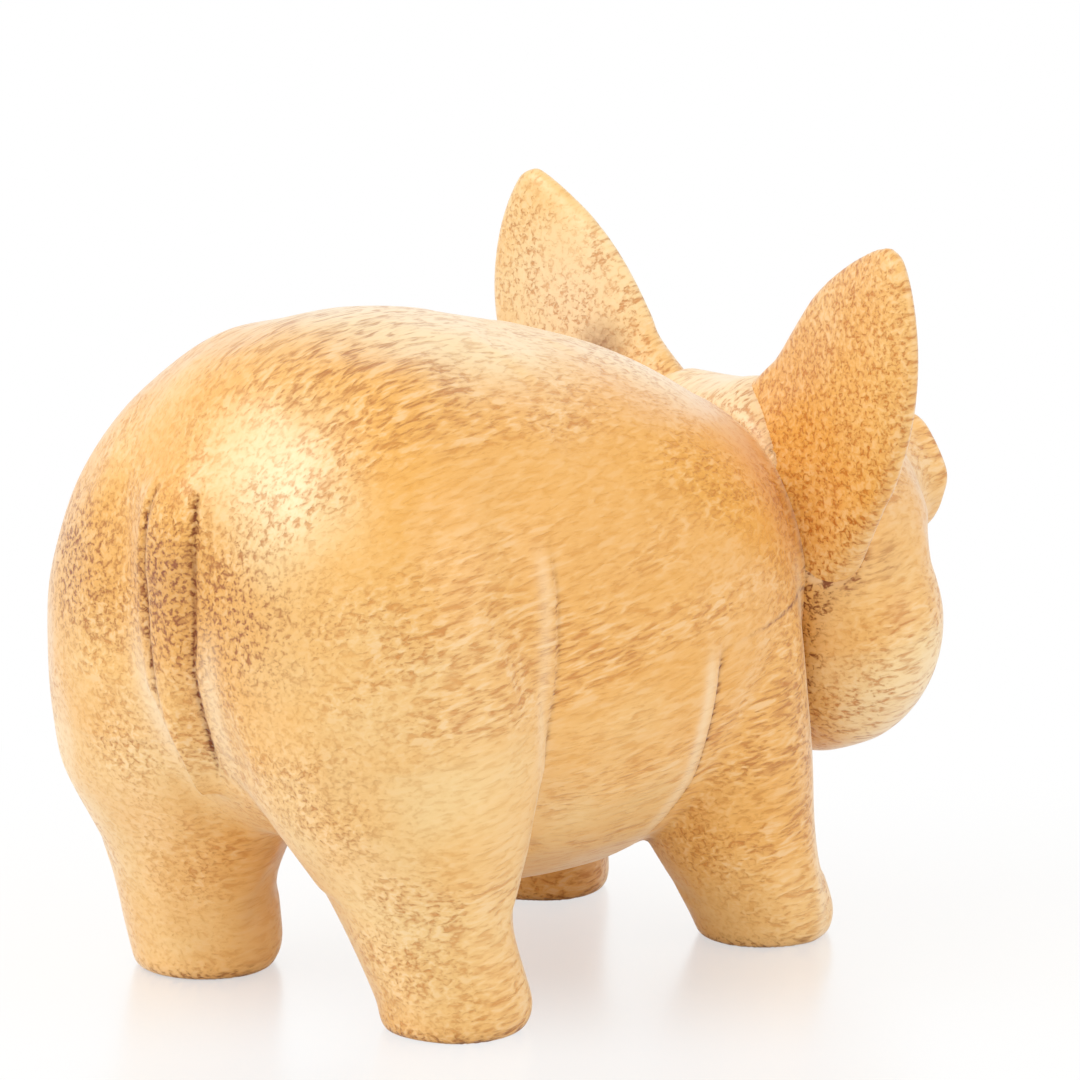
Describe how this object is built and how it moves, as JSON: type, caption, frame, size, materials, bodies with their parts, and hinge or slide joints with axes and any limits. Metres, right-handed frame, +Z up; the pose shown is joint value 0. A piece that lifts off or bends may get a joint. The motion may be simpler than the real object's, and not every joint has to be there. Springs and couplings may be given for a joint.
{
  "type": "pig figurine",
  "caption": "Small carved wooden pig standing on four short legs, with broad upright ears and a flat carved tail.",
  "frame": {"origin": "on the floor, under the middle of the figurine's box", "axes": "+Z up, the snout points to -Y, the animal's left side is +X"},
  "size_m": [0.0744, 0.1278, 0.0892],
  "materials": {
    "body_wood": "satin",
    "head_wood": "satin",
    "ear_wood": "satin",
    "dowel_wood": "matte"
  },
  "bodies": {
    "root": {"carved_body": "body_wood", "carved_head": "head_wood", "right_ear": "ear_wood", "left_ear": "ear_wood", "neck_dowel": "dowel_wood"}
  },
  "joints": []
}
